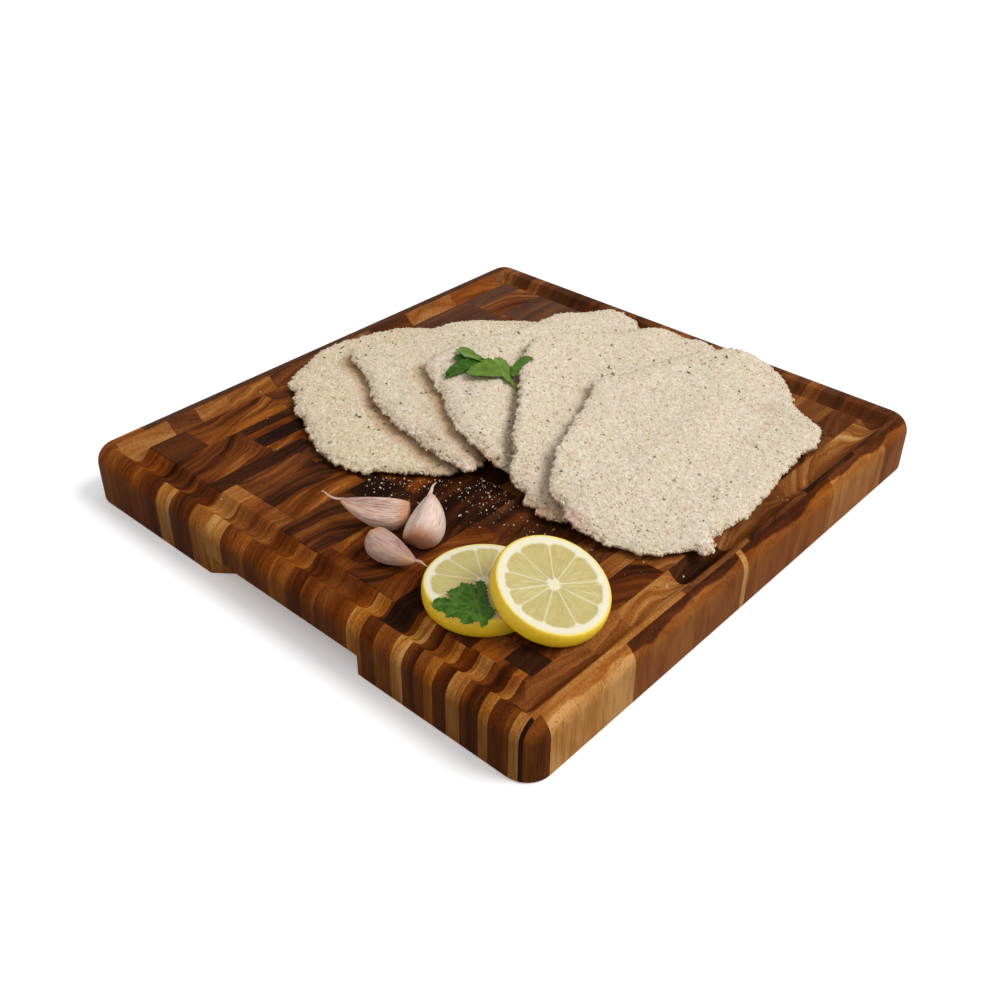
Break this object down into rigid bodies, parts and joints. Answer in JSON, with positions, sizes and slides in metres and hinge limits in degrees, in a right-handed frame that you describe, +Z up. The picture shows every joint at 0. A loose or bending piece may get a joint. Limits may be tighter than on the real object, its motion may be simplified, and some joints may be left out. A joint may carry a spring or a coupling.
{
  "type": "breaded schnitzel platter",
  "caption": "Raw breaded schnitzels fanned out on an end-grain wooden carving board with a juice groove, with garlic cloves, lemon slices and parsley.",
  "frame": {"origin": "centre of the board's underside", "axes": "+Z up, +Y along the board's longer, plain sides, +X along its shorter sides, which have the finger grips; the garlic and lemon lie towards -Y"},
  "size_m": [0.36, 0.384, 0.0709],
  "materials": {
    "wood": "oiled end grain, satin, in blocks from dark brown to honey",
    "breading": "raw beige breadcrumbs with dark herb flecks",
    "garlic_skin": "thin papery skin, white to pink with purple streaks",
    "lemon": "waxy yellow peel, white pith, moist pale flesh",
    "parsley": "fresh green leaf"
  },
  "bodies": {
    "root": {"board": "wood", "schnitzel_1": "breading", "schnitzel_2": "breading", "schnitzel_3": "breading", "schnitzel_4": "breading", "schnitzel_5": "breading", "garlic_clove_1": "garlic_skin", "garlic_clove_2": "garlic_skin", "garlic_clove_3": "garlic_skin", "lemon_slice_1": "lemon", "lemon_slice_2": "lemon", "parsley_leaf": "parsley", "parsley_sprig": "parsley"}
  },
  "joints": []
}
